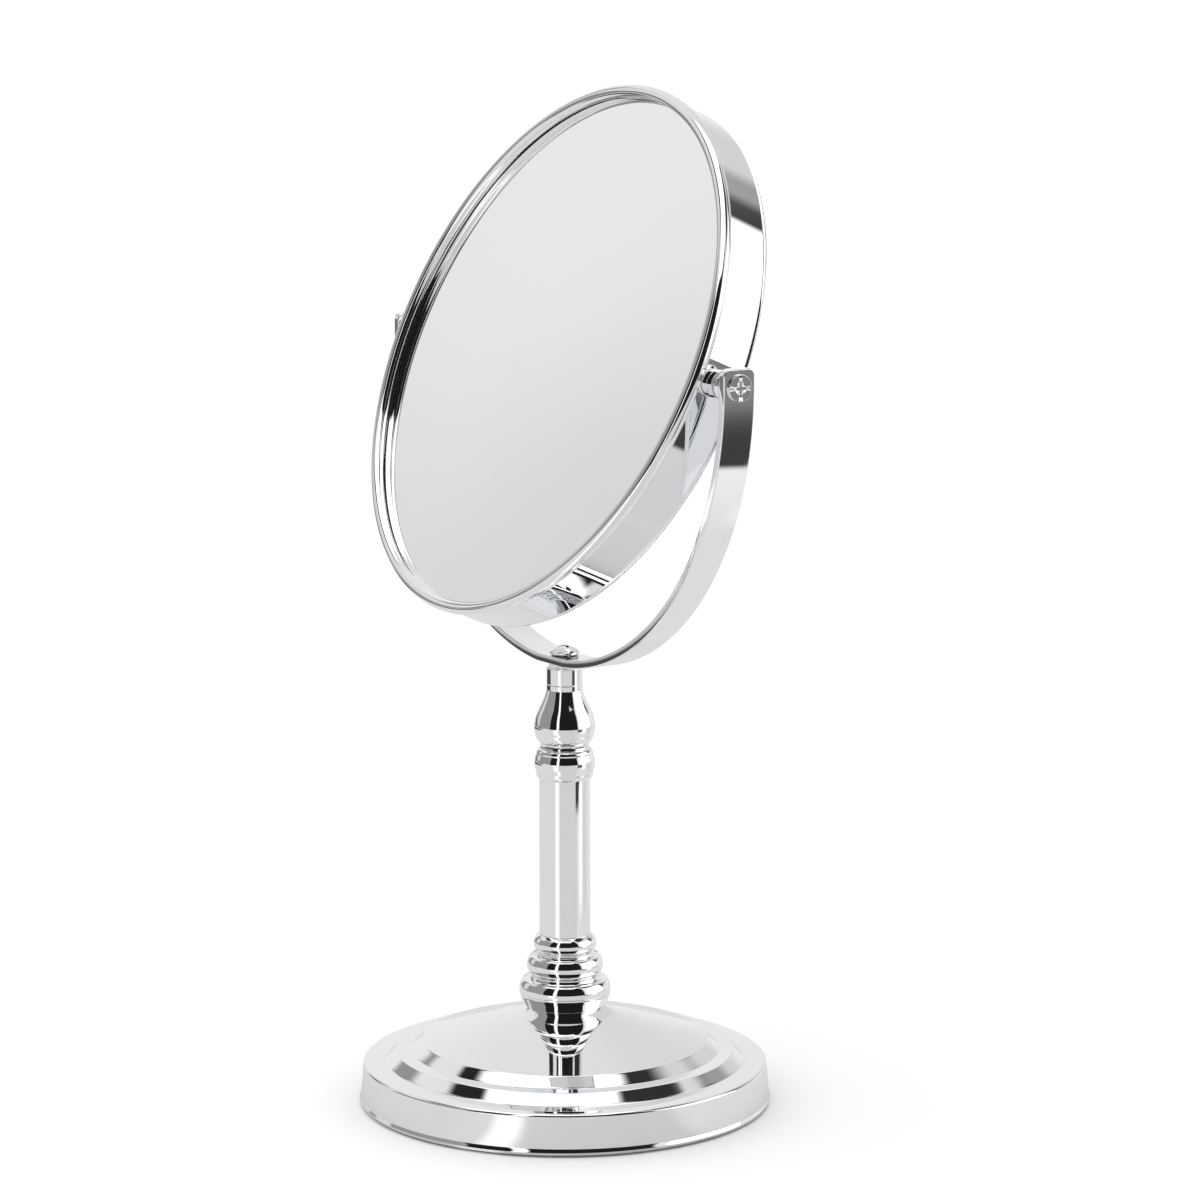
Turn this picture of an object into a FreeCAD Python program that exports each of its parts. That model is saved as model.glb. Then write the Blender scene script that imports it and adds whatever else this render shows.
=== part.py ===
import FreeCAD, Part
import math
import os
import Sketcher

# Free-standing, double-sided shaving mirror on a telescopic column.  Millimetres.
# The origin is the middle of the foot's underside, +Z is up, the two tilt pivots lie along X,
# and the mirror faces -Y, tipped up by head_tilt.

DOC = FreeCAD.newDocument("ShavingMirror")

DRIVING_DIMENSIONS = {
    # foot
    "foot_radius": 74.3, "rim_radius": 73.3, "rim_height": 15.4, "shell_wall": 1.2,
    "lower_step_outer": 65.4, "lower_step_inner": 61.2, "upper_step_outer": 56.4, "upper_step_inner": 51.6,
    "ledge_height": 15.9, "step_height": 19.7, "step_round": 9.0,
    "cone_foot_height": 23.2, "flare_radius": 19.0, "flare_height": 33.0, "flare_round": 11.5,
    "cone_top_height": 35.7,
    "pad_thickness": 1.2, "cover_thickness": 1.0, "weight_radius": 62.0, "weight_top": 10.4,
    "hub_radius": 13.0, "nut_pocket_radius": 12.0, "nut_pocket_top": 8.4,
    "stud_radius": 3.0, "nut_height": 5.0,
    # stack of rings at the bottom of the column
    "collar_foot_radius": 14.4,
    "ring3_radius": 16.5, "ring3_middle": 42.2, "ring3_round": 9.0, "ring3_top": 45.4,
    "ring2_radius": 13.8, "ring2_top": 54.4, "ring1_radius": 11.25, "collar_top": 62.0,
    "groove3_radius": 12.6, "groove2_radius": 10.0, "socket_depth": 5.0,
    # column
    "tube_radius": 9.2, "tube_wall": 1.0, "tube_top": 127.0, "plug_height": 8.0,
    "bead_bottom": 119.7, "bead_top": 131.6, "bead_radius": 11.0, "seam_gap": 0.4,
    "inner_radius": 6.0, "inner_wall": 1.0, "slide_clearance": 0.06, "bush_height": 8.0,
    "slide_ring_height": 6.0, "slide_ring_clearance": 0.08,
    "bell_radius": 11.1, "bell_waist": 8.9, "bell_belly": 138.4, "bell_lip_radius": 6.2, "bell_top": 154.0,
    "neck_radius": 6.45, "neck_top": 160.4, "neck_crown": 4.0, "insert_depth": 14.0, "screw_reach": 12.0,
    "swivel_gap": 0.2,
    # yoke
    "pivot_height": 271.8, "yoke_radius": 110.6, "strap_thickness": 3.0, "strap_width": 12.5,
    "arm_end": 6.5, "arm_corner": 2.4, "pad_half_width": 9.0, "screw_radius": 2.5, "screw_head_radius": 5.5,
    "screw_head_height": 2.8, "wave_washer": 0.4,
    # tilt pivots
    "pin_radius": 2.0, "pin_clearance": 0.06, "rivet_radius": 4.6, "rivet_height": 0.9,
    "spacer_radius": 6.0, "lug_face": 101.2, "lug_radius": 3.6, "lug_flange_radius": 5.0, "lug_inner": 93.4,
    "tilt_washer": 0.8, "face_gap": 0.3,
    # head
    "head_tilt": 24.0, "head_radius": 100.0, "band_radius": 98.4, "band_wall": 1.0,
    "front_depth": 11.8, "bead_half": 2.3, "back_depth": 9.8, "back_bead_half": 1.2,
    "glass_radius": 97.2, "glass_thickness": 3.0, "magnifier_curve": 1100.0,
    "seal_inner": 96.4, "seal_outer": 97.1, "seal_thickness": 0.35, "core_radius": 89.0,
}

SHEET = DOC.addObject("Spreadsheet::Sheet", "Dims")


class Size:
    """A number together with the spreadsheet expression that gives it."""

    def __init__(self, value, text):
        self.value = value
        self.text = text

    def __add__(self, other):
        other = as_size(other)
        return Size(self.value + other.value, f"({self.text} + {other.text})")

    def __sub__(self, other):
        other = as_size(other)
        return Size(self.value - other.value, f"({self.text} - {other.text})")

    def __mul__(self, other):
        other = as_size(other)
        return Size(self.value * other.value, f"({self.text} * {other.text})")

    def __truediv__(self, other):
        other = as_size(other)
        return Size(self.value / other.value, f"({self.text} / {other.text})")

    def __neg__(self):
        return Size(-self.value, f"(0 - {self.text})")


def as_size(number):
    return number if isinstance(number, Size) else Size(float(number), str(float(number)))


def root(size):
    return Size(math.sqrt(size.value), f"sqrt({size.text})")


class Dimensions:
    """The spreadsheet's cells, by alias."""


def fill_sheet():
    cells = Dimensions()
    for row, (alias, number) in enumerate(DRIVING_DIMENSIONS.items(), start=1):
        SHEET.set(f"A{row}", alias)
        SHEET.set(f"B{row}", str(number))
        SHEET.setAlias(f"B{row}", alias)
        setattr(cells, alias, Size(number, f"Dims.{alias}"))
    return cells


d = fill_sheet()
DOC.recompute()

HEAD_TURN = FreeCAD.Rotation(FreeCAD.Vector(1, 0, 0), 90 - d.head_tilt.value)
NO_TURN = FreeCAD.Rotation()
made = []


# ---------------------------------------------------------------- sketch helpers

def origin_plane(body, role):
    return [feature for feature in body.Origin.OriginFeatures if feature.Role == role][0]


def new_body(label, height=None, turn=NO_TURN):
    """A body with its own placement: at a height over the foot, turned about the pivot line."""
    body = DOC.addObject("PartDesign::Body", label)
    body.Label = label
    body.Placement = FreeCAD.Placement(FreeCAD.Vector(0, 0, height.value if height else 0), turn)
    if height:
        body.setExpression("Placement.Base.z", height.text)
    made.append(body)
    return body


def new_sketch(body, name, role, offset=None):
    sketch = body.newObject("Sketcher::SketchObject", body.Name + name)
    sketch.AttachmentSupport = [(origin_plane(body, role), "")]
    sketch.MapMode = "FlatFace"
    if offset:
        sketch.AttachmentOffset = FreeCAD.Placement(FreeCAD.Vector(0, 0, offset.value), NO_TURN)
        sketch.setExpression("AttachmentOffset.Base.z", offset.text)
    return sketch


def fix_size(sketch, kind, references, size):
    """Adds a constraint whose value is read from the spreadsheet; negative ones swap their ends."""
    if size.value < 0 and len(references) == 4:
        references = references[2:] + references[:2]
        size = -size
    index = sketch.addConstraint(Sketcher.Constraint(kind, *references, size.value))
    sketch.setExpression(f"Constraints[{index}]", size.text)


def fix_point(sketch, edge, end, across, up):
    """Places one end of an edge by its two distances from the sketch's origin."""
    for kind, line_up, size in (("DistanceX", -2, across), ("DistanceY", -1, up)):
        if size.value == 0:
            sketch.addConstraint(Sketcher.Constraint("PointOnObject", edge, end, line_up))
        else:
            fix_size(sketch, kind, (-1, 1, edge, end), size)


def arc_through(start, end, radius):
    """The short arc from start to end; a positive radius bulges to the right of the way there."""
    chord = end - start
    half = chord.Length / 2
    side = FreeCAD.Vector(chord.y, -chord.x, 0).normalize()
    if radius < 0:
        side = -side
    sagitta = abs(radius) - math.sqrt(radius * radius - half * half)
    return Part.Arc(start, (start + end) / 2 + side * sagitta, end)


def draw_outline(sketch, corners):
    """Closed outline.  A corner is (across, up) or (across, up, radius of the arc that reaches it)."""
    points = [FreeCAD.Vector(as_size(c[0]).value, as_size(c[1]).value, 0) for c in corners]
    count = len(corners)
    for i in range(count):
        start, end = points[i - 1], points[i]
        if len(corners[i]) == 3:
            sketch.addGeometry(arc_through(start, end, as_size(corners[i][2]).value))
        else:
            sketch.addGeometry(Part.LineSegment(start, end))
    # an arc is always stored counter-clockwise, so one that runs the other way has its ends swapped
    ends = []
    for i in range(count):
        first = sketch.getPoint(i, 1)
        forward = (first - points[i - 1]).Length < (first - points[i]).Length
        ends.append((1, 2) if forward else (2, 1))
    for i in range(count):
        following = (i + 1) % count
        sketch.addConstraint(Sketcher.Constraint("Coincident", i, ends[i][1], following, ends[following][0]))
        fix_point(sketch, i, ends[i][1], as_size(corners[i][0]), as_size(corners[i][1]))
        if len(corners[i]) == 3:
            radius = as_size(corners[i][2])
            fix_size(sketch, "Radius", (i,), radius if radius.value > 0 else -radius)


def draw_circle(sketch, across, up, radius):
    across, up, radius = as_size(across), as_size(up), as_size(radius)
    centre = FreeCAD.Vector(across.value, up.value, 0)
    index = sketch.addGeometry(Part.Circle(centre, FreeCAD.Vector(0, 0, 1), radius.value))
    fix_point(sketch, index, 3, across, up)
    fix_size(sketch, "Radius", (index,), radius)


def turned(label, corners, height=None, turn=NO_TURN):
    """A piece turned on a lathe: its half section, (radius, height) by corner, round its own Z."""
    body = new_body(label, height, turn)
    sketch = new_sketch(body, "Section", "XZ_Plane")
    draw_outline(sketch, corners)
    revolution = body.newObject("PartDesign::Revolution", body.Name + "Turning")
    revolution.Profile = sketch
    revolution.ReferenceAxis = (sketch, ["V_Axis"])
    revolution.Angle = 360
    sketch.Visibility = False
    DOC.recompute()
    return body


def ring(label, inner, outer, bottom, top, height=None, turn=NO_TURN):
    return turned(label, [(inner, bottom), (outer, bottom), (outer, top), (inner, top)], height, turn)


def disc(label, outer, bottom, top, height=None, turn=NO_TURN):
    return turned(label, [(0, bottom), (outer, bottom), (outer, top), (0, top)], height, turn)


def hole_through(body, role, circles):
    """Cuts round holes both ways from one of the body's origin planes."""
    sketch = new_sketch(body, "Holes", role)
    for circle in circles:
        draw_circle(sketch, *circle)
    pocket = body.newObject("PartDesign::Pocket", body.Name + "Drilling")
    pocket.Profile = sketch
    pocket.Type = "ThroughAll"
    pocket.Midplane = True
    sketch.Visibility = False
    DOC.recompute()
    return pocket


# ---------------------------------------------------------------- foot

CONE_SLOPE = (d.flare_height - d.cone_foot_height) / (d.upper_step_inner - d.flare_radius)


def cone_height(radius):
    return d.flare_height - (radius - d.flare_radius) * CONE_SLOPE


def make_foot():
    wall = d.shell_wall
    hem = 0.5
    bore = d.stud_radius + 0.2
    turned("base_shell", [
        (d.foot_radius - wall, d.pad_thickness - 0.4),
        (d.foot_radius, d.pad_thickness - 0.4),
        (d.foot_radius + hem, d.pad_thickness + 0.6),
        (d.foot_radius, d.pad_thickness + 1.8),
        (d.rim_radius, d.rim_height - 1.0),
        (d.rim_radius - 1.0, d.rim_height, 1.2),
        (d.lower_step_outer, d.ledge_height),
        (d.lower_step_inner, d.step_height, -d.step_round),
        (d.upper_step_outer, d.step_height),
        (d.upper_step_inner, d.cone_foot_height, -d.step_round),
        (d.flare_radius, d.flare_height),
        (d.collar_foot_radius, d.cone_top_height, -d.flare_round),
        (bore, d.cone_top_height),
        (bore, d.cone_top_height - wall),
        (d.collar_foot_radius, d.cone_top_height - wall),
        (d.flare_radius, d.flare_height - wall),
        (d.upper_step_inner - wall, d.cone_foot_height - wall),
        (d.upper_step_inner - wall, d.step_height - wall),
        (d.lower_step_inner - wall, d.step_height - wall),
        (d.lower_step_inner - wall, d.ledge_height - wall),
        (d.rim_radius - wall, d.rim_height - wall),
    ])
    turned("base_weight", [
        (d.stud_radius + 0.3, d.nut_pocket_top),
        (d.nut_pocket_radius, d.nut_pocket_top),
        (d.nut_pocket_radius, d.pad_thickness + d.cover_thickness),
        (d.weight_radius, d.pad_thickness + d.cover_thickness),
        (d.weight_radius, d.weight_top),
        (d.hub_radius * 1.5, d.weight_top),
        (d.hub_radius, cone_height(d.hub_radius) - wall * 1.4),
        (d.stud_radius + 0.3, cone_height(d.hub_radius) - wall * 1.4),
    ])
    cover_radius = d.foot_radius - wall - 0.3
    disc("base_cover", cover_radius, d.pad_thickness, d.pad_thickness + d.cover_thickness)
    disc("base_pad", cover_radius - 0.7, 0, d.pad_thickness)
    washer_bottom = d.nut_pocket_top - 1.2
    ring("stud_washer", d.stud_radius + 0.1, d.stud_radius * 2.6, washer_bottom, d.nut_pocket_top)
    make_nut("stud_nut", washer_bottom - d.nut_height, washer_bottom)
    disc("base_stud", d.stud_radius, d.pad_thickness + d.cover_thickness + 0.2,
         d.collar_top - d.socket_depth + d.plug_height)


def make_nut(label, bottom, top):
    """A hexagon nut as a drilled prism."""
    prism = DOC.addObject("Part::Prism", label + "Hexagon")
    prism.Polygon = 6
    drill = DOC.addObject("Part::Cylinder", label + "Drill")
    for solid in (prism, drill):
        solid.setExpression("Height", (top - bottom).text)
        solid.setExpression("Placement.Base.z", bottom.text)
    prism.setExpression("Circumradius", (d.stud_radius * 1.92).text)
    drill.setExpression("Radius", d.stud_radius.text)
    nut = DOC.addObject("Part::Cut", label)
    nut.Base = prism
    nut.Tool = drill
    nut.Label = label
    DOC.recompute()
    made.append(nut)
    return nut


# ---------------------------------------------------------------- column

TUBE_BOTTOM = d.collar_top - d.socket_depth
TUBE_BORE = d.tube_radius - d.tube_wall
BELL_BOTTOM = d.bead_top + d.seam_gap
INNER_BOTTOM = TUBE_BOTTOM + d.plug_height + 0.6


def make_ring_stack():
    bore = d.stud_radius + 0.1
    socket = d.tube_radius
    turned("ring_collar", [
        (bore, d.cone_top_height),
        (d.collar_foot_radius, d.cone_top_height),
        (d.ring3_radius, d.ring3_middle, d.ring3_round),
        (d.ring3_radius - 1.3, d.ring3_top, 6.0),
        (d.groove3_radius, d.ring3_top + 0.8, -1.6),
        (d.ring2_radius - 1.2, d.ring3_top + 1.8, -0.8),
        (d.ring2_radius - 1.2, d.ring2_top - 0.4, 5.6),
        (d.groove2_radius, d.ring2_top + 0.4, -1.4),
        (d.ring1_radius - 1.0, d.ring2_top + 1.4, -0.8),
        (d.ring1_radius - 1.0, d.collar_top - 0.6, 4.0),
        (socket + 0.4, d.collar_top),
        (socket, d.collar_top),
        (socket, TUBE_BOTTOM),
        (bore, TUBE_BOTTOM),
    ])


def make_column():
    ring("column_tube", TUBE_BORE, d.tube_radius, TUBE_BOTTOM, d.tube_top)
    ring("tube_plug", d.stud_radius, TUBE_BORE, TUBE_BOTTOM, TUBE_BOTTOM + d.plug_height)
    shoulder = d.inner_radius + 0.5
    turned("bead_collar", [
        (d.tube_radius, d.bead_bottom),
        (d.tube_radius + 0.5, d.bead_bottom),
        (d.bead_radius - 0.8, d.bead_bottom + 2.2, 3.2),
        (d.bead_radius - 0.8, d.bead_top - 3.0, 7.6),
        (d.bell_waist, d.bead_top - 0.8, 2.0),
        (d.bell_waist, d.bead_top),
        (shoulder, d.bead_top),
        (shoulder, d.tube_top),
        (d.tube_radius, d.tube_top),
    ])
    ring("guide_bush", d.inner_radius + d.slide_clearance, TUBE_BORE, d.tube_top - d.bush_height, d.tube_top)
    ring("inner_tube", d.inner_radius - d.inner_wall, d.inner_radius, INNER_BOTTOM, d.neck_top - d.neck_crown)
    ring("slide_ring", d.inner_radius, TUBE_BORE - d.slide_ring_clearance, INNER_BOTTOM,
         INNER_BOTTOM + d.slide_ring_height)
    turned("bell_cap", [
        (d.inner_radius, BELL_BOTTOM),
        (d.bell_waist, BELL_BOTTOM),
        (d.bell_waist, BELL_BOTTOM + 0.6),
        (d.bell_radius - 0.5, d.bell_belly - 2.4, 4.0),
        (d.bell_radius - 0.3, d.bell_belly + 1.8, 6.0),
        (d.bell_lip_radius + 2.6, d.bell_belly + 7.6, 16.0),
        (d.bell_lip_radius + 0.3, d.bell_top - 2.2, -26.0),
        (d.bell_lip_radius + 0.3, d.bell_top),
        (d.inner_radius, d.bell_top),
    ])
    turned("neck_cap", [
        (d.screw_radius, d.neck_top - d.neck_crown),
        (d.inner_radius, d.neck_top - d.neck_crown),
        (d.inner_radius, d.bell_top),
        (d.neck_radius, d.bell_top),
        (d.neck_radius, d.neck_top - 0.5),
        (d.neck_radius - 0.5, d.neck_top),
        (d.screw_radius, d.neck_top),
    ])
    ring("screw_insert", d.screw_radius, d.inner_radius - d.inner_wall,
         d.neck_top - d.insert_depth, d.neck_top - d.neck_crown)


# ---------------------------------------------------------------- yoke

STRAP_UNDER = d.pivot_height - root(d.yoke_radius * d.yoke_radius - d.pad_half_width * d.pad_half_width)
YOKE_INNER = d.yoke_radius - d.strap_thickness
SCREW_SEAT = STRAP_UNDER + d.strap_thickness + d.face_gap + d.wave_washer


def make_swivel_joint():
    washer_top = STRAP_UNDER - d.swivel_gap
    ring("swivel_washer", d.screw_radius, d.neck_radius - 0.8, d.neck_top, washer_top)
    ring("wave_washer", d.screw_radius, d.screw_head_radius - 0.6, SCREW_SEAT - d.wave_washer, SCREW_SEAT)
    crown = SCREW_SEAT + d.screw_head_height
    rim_rise = d.screw_head_height / 5
    screw = turned("yoke_screw", [
        (0, d.neck_top - d.screw_reach),
        (d.screw_radius, d.neck_top - d.screw_reach),
        (d.screw_radius, SCREW_SEAT),
        (d.screw_head_radius, SCREW_SEAT),
        (d.screw_head_radius, SCREW_SEAT + rim_rise),
        (0, crown, crown_radius(d.screw_head_radius, d.screw_head_height - rim_rise)),
    ])
    cut_cross_slot(screw, crown, d.screw_head_radius, d.screw_head_height / 2)


def crown_radius(rim, rise):
    """The radius of a round head that rises by this much over a rim of this radius."""
    return (rim * rim + rise * rise) / (rise * 2)


def cut_cross_slot(body, crown, head_radius, depth):
    """A cross recess in the crown of a screw."""
    sketch = new_sketch(body, "Cross", "XY_Plane", crown - depth)
    arm, half = head_radius / 2, head_radius / 10
    draw_outline(sketch, [
        (-half, -arm), (half, -arm), (half, -half), (arm, -half), (arm, half), (half, half),
        (half, arm), (-half, arm), (-half, half), (-arm, half), (-arm, -half), (-half, -half),
    ])
    pocket = body.newObject("PartDesign::Pocket", body.Name + "Recess")
    pocket.Profile = sketch
    pocket.Reversed = True
    pocket.setExpression("Length", (depth * 2).text)
    sketch.Visibility = False
    DOC.recompute()
    return pocket


def make_yoke():
    """A flat strap bent to a half ring, with a short flat pad under the screw."""
    body = new_body("yoke_strap", d.pivot_height)
    sketch = new_sketch(body, "Bend", "XZ_Plane")
    flat = d.pad_half_width
    outer_flat = root(d.yoke_radius * d.yoke_radius - flat * flat)
    inner_flat = outer_flat - d.strap_thickness
    draw_outline(sketch, [
        (d.yoke_radius, d.arm_end),
        (YOKE_INNER, d.arm_end),
        (YOKE_INNER, 0),
        (flat, -inner_flat, -YOKE_INNER),
        (-flat, -inner_flat),
        (-YOKE_INNER, 0, -YOKE_INNER),
        (-YOKE_INNER, d.arm_end),
        (-d.yoke_radius, d.arm_end),
        (-d.yoke_radius, 0),
        (-flat, -outer_flat, d.yoke_radius),
        (flat, -outer_flat),
        (d.yoke_radius, 0, d.yoke_radius),
    ])
    pad = body.newObject("PartDesign::Pad", "yoke_strapWidth")
    pad.Profile = sketch
    pad.Midplane = True
    pad.setExpression("Length", d.strap_width.text)
    sketch.Visibility = False
    DOC.recompute()
    hole_through(body, "XY_Plane", [(0, 0, d.screw_radius + 0.06)])
    pin_sketch = new_sketch(body, "PinHoles", "YZ_Plane")
    draw_circle(pin_sketch, 0, 0, d.pin_radius + 0.02)
    pin_holes = body.newObject("PartDesign::Pocket", "yoke_strapPinHoles")
    pin_holes.Profile = pin_sketch
    pin_holes.Type = "ThroughAll"
    pin_holes.Midplane = True
    pin_sketch.Visibility = False
    DOC.recompute()
    round_arm_ends(body, pin_holes)


def round_arm_ends(body, base):
    """Rounds the upright corners of the two arm ends, across the strap's width."""
    reach = d.strap_width.value / 2
    names = []
    for index, edge in enumerate(base.Shape.Edges, start=1):
        box = edge.BoundBox
        thin = box.YLength < 0.01 and box.ZLength < 0.01
        across_wall = thin and abs(box.XLength - d.strap_thickness.value) < 0.01
        at_tip = abs(abs(box.YMin) - reach) < 0.01 and box.ZMin > d.arm_end.value - 0.01
        if across_wall and at_tip:
            names.append(f"Edge{index}")
    fillet = body.newObject("PartDesign::Fillet", "yoke_strapCorners")
    fillet.Base = (base, names)
    fillet.setExpression("Radius", d.arm_corner.text)
    DOC.recompute()
    body.Tip = fillet


def make_pivot(side, direction):
    """The pieces of one tilt pivot, turned about X: pin, washer and spacer on the yoke, lug on the head."""
    quarter = FreeCAD.Rotation(FreeCAD.Vector(0, 1, 0), 90 * direction)
    washer_inner = d.lug_face + d.face_gap
    spacer_inner = washer_inner + d.tilt_washer
    arm_outer = d.yoke_radius
    crown = arm_outer + d.rivet_height
    bore = d.pin_radius
    rim_rise = d.rivet_height / 4
    pin = turned(side + "_pivot_pin", [
        (0, d.lug_inner + 2),
        (d.pin_radius - 0.4, d.lug_inner + 2),
        (d.pin_radius, d.lug_inner + 2.4),
        (d.pin_radius, arm_outer),
        (d.rivet_radius, arm_outer),
        (d.rivet_radius, arm_outer + rim_rise),
        (0, crown, crown_radius(d.rivet_radius, d.rivet_height - rim_rise)),
    ], d.pivot_height, quarter)
    cut_cross_slot(pin, crown, d.rivet_radius, d.rivet_height * 0.7)
    ring(side + "_tilt_washer", bore, d.spacer_radius - 1.6, washer_inner, spacer_inner,
         d.pivot_height, quarter)
    middle = (spacer_inner + YOKE_INNER) / 2
    turned(side + "_pivot_spacer", [
        (bore, spacer_inner),
        (d.spacer_radius - 1.0, spacer_inner),
        (d.spacer_radius - 1.0, middle - 0.7, 1.7),
        (d.spacer_radius - 1.5, middle - 0.5),
        (d.spacer_radius - 1.5, middle + 0.5),
        (d.spacer_radius - 1.0, middle + 0.7),
        (d.spacer_radius - 1.0, YOKE_INNER, 1.7),
        (bore, YOKE_INNER),
    ], d.pivot_height, quarter)
    lug_turn = HEAD_TURN.multiply(quarter)
    turned(side + "_pivot_lug", [
        (d.pin_radius + d.pin_clearance, d.lug_inner),
        (d.lug_radius, d.lug_inner),
        (d.lug_radius, d.band_radius),
        (d.lug_flange_radius, d.band_radius),
        (d.lug_flange_radius, d.lug_face),
        (d.pin_radius + d.pin_clearance, d.lug_face),
    ], d.pivot_height, lug_turn)


# ---------------------------------------------------------------- head

def on_head(maker, label, *sizes):
    return maker(label, *sizes, height=d.pivot_height, turn=HEAD_TURN)


def make_bezel(label, way, depth, half):
    """A rolled bead on the drum's edge that holds the glass; way is +1 at the front, -1 behind."""
    face = depth * way
    foot = (depth - half * 2) * way
    middle = d.head_radius - d.bead_half
    round_over = half * way
    return on_head(turned, label, [
        (d.band_radius, foot),
        (middle, face, round_over * 1.08),
        (middle - half, face - round_over, round_over),
        (middle - half * 0.65, foot + round_over * 0.26, round_over),
        (middle - half * 0.5, foot),
    ])


def make_head():
    inner = d.band_radius - d.band_wall
    front_edge = d.front_depth - d.bead_half * 2
    back_edge = d.back_depth - d.back_bead_half * 2
    band = on_head(ring, "head_band", inner, d.band_radius, -back_edge, front_edge)
    hole_through(band, "YZ_Plane", [(0, 0, d.lug_radius)])
    make_bezel("front_bezel", 1, d.front_depth, d.bead_half)
    make_bezel("back_bezel", -1, d.back_depth, d.back_bead_half)
    glass_face = front_edge - d.seal_thickness
    back_face = d.seal_thickness - back_edge
    back_of_glass = glass_face - d.glass_thickness
    on_head(disc, "plain_glass", d.glass_radius, back_of_glass, glass_face)
    curve = d.magnifier_curve
    sagitta = curve - root(curve * curve - d.glass_radius * d.glass_radius)
    thin = d.glass_thickness - 1
    on_head(turned, "magnifying_glass", [
        (d.glass_radius, back_face, -curve),
        (d.glass_radius, back_face + thin),
        (0, back_face + thin + sagitta, curve),
        (0, back_face + sagitta),
    ])
    on_head(ring, "front_gasket", d.seal_inner, d.seal_outer, glass_face, front_edge)
    on_head(ring, "back_gasket", d.seal_inner, d.seal_outer, -back_edge, back_face)
    on_head(disc, "glass_core", d.core_radius, back_face + thin + sagitta, back_of_glass)


def build():
    make_foot()
    make_ring_stack()
    make_column()
    make_swivel_joint()
    make_yoke()
    make_pivot("right", 1)
    make_pivot("left", -1)
    make_head()


def check_and_export():
    DOC.recompute()
    for item in DOC.Objects:
        if "Invalid" in item.State or "Error" in item.State:
            raise RuntimeError(f"{item.Name} is not valid: {item.State}")
    os.makedirs("parts", exist_ok=True)
    for piece in made:
        shape = piece.Shape
        if shape.isNull() or not shape.isValid() or len(shape.Solids) != 1:
            raise RuntimeError(f"{piece.Label} has no single valid solid")
        shape.exportStep(f"parts/{piece.Label}.step")
        print(piece.Label, round(shape.Volume), [round(v, 2) for v in (
            shape.BoundBox.XMin, shape.BoundBox.XMax, shape.BoundBox.YMin, shape.BoundBox.YMax,
            shape.BoundBox.ZMin, shape.BoundBox.ZMax)])


build()
check_and_export()
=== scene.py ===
import math
import bpy
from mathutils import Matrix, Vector


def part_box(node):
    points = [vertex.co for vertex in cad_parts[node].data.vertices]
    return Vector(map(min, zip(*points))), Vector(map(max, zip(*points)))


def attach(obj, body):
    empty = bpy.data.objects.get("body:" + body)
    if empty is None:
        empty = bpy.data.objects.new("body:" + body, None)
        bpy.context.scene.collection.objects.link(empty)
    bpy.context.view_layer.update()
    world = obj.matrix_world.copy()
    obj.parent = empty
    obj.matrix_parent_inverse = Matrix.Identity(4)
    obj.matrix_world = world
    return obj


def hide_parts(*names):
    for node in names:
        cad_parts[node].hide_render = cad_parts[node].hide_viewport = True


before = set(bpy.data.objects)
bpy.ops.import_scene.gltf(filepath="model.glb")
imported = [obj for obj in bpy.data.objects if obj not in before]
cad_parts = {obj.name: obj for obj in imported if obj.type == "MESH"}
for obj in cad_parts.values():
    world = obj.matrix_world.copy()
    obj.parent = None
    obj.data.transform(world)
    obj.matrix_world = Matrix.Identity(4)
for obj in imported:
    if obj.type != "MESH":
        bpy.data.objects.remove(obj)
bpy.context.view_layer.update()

# A double-sided shaving mirror in bright chrome.  Sizes are in millimetres until a piece is made.
MM = 0.001
ROUND_STEPS = 160            # steps of a full turn on the lathe
ARC_STEP = math.radians(7)   # the most that an arc turns from one point to the next
HOLD = 0.3                   # how far from a corner a straight run is held flat


# ---------------------------------------------------------------- sizes from the frame

def reach(node):
    """Half the width of a node along X, in millimetres."""
    low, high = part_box(node)
    return (high.x - low.x) / 2 / MM


def bottom(node):
    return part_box(node)[0].z / MM


def top(node):
    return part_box(node)[1].z / MM


pivot_low, pivot_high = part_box("right_pivot_pin")
PIVOT = (pivot_low.z + pivot_high.z) / 2 / MM
HEAD_TILT = 24.0
HEAD_TURN = math.radians(90 - HEAD_TILT)
TUBE = reach("column_tube")
BAND = reach("head_band")
HEAD = reach("front_bezel")
YOKE = reach("yoke_strap")


# ---------------------------------------------------------------- making pieces by hand

def put_down_everything():
    if bpy.context.mode != "OBJECT":
        bpy.ops.object.mode_set(mode="OBJECT")
    bpy.ops.object.select_all(action="DESELECT")


def take(piece):
    put_down_everything()
    piece.select_set(True)
    bpy.context.view_layer.objects.active = piece


def edit(piece):
    take(piece)
    bpy.ops.object.mode_set(mode="EDIT")
    bpy.ops.mesh.select_all(action="SELECT")


def done_editing():
    bpy.ops.object.mode_set(mode="OBJECT")


def apply_modifier(piece, kind, **settings):
    take(piece)
    modifier = piece.modifiers.new(kind.title(), kind)
    for name, value in settings.items():
        setattr(modifier, name, value)
    bpy.ops.object.modifier_apply(modifier=modifier.name)


def smooth(piece, degrees=32):
    """Soft shading that keeps the large faces flat and the sharp edges sharp."""
    take(piece)
    bpy.ops.object.shade_smooth_by_angle(angle=math.radians(degrees))
    apply_modifier(piece, "WEIGHTED_NORMAL", mode="FACE_AREA", weight=50, keep_sharp=True)


def rounded(corners):
    """Outline points from corners: (across, up) or (across, up, radius of the arc that reaches it).
    A positive radius bulges to the right of the way there.  A straight run gets a point close to each
    end, which keeps it flat where the edges beside it are rounded."""
    points = []
    for i, corner in enumerate(corners):
        end = Vector((corner[0], corner[1]))
        if i > 0:
            start = Vector((corners[i - 1][0], corners[i - 1][1]))
            points += arc_points(start, end, corner[2]) if len(corner) == 3 else held_flat(start, end)
        points.append(end)
    return points


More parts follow.
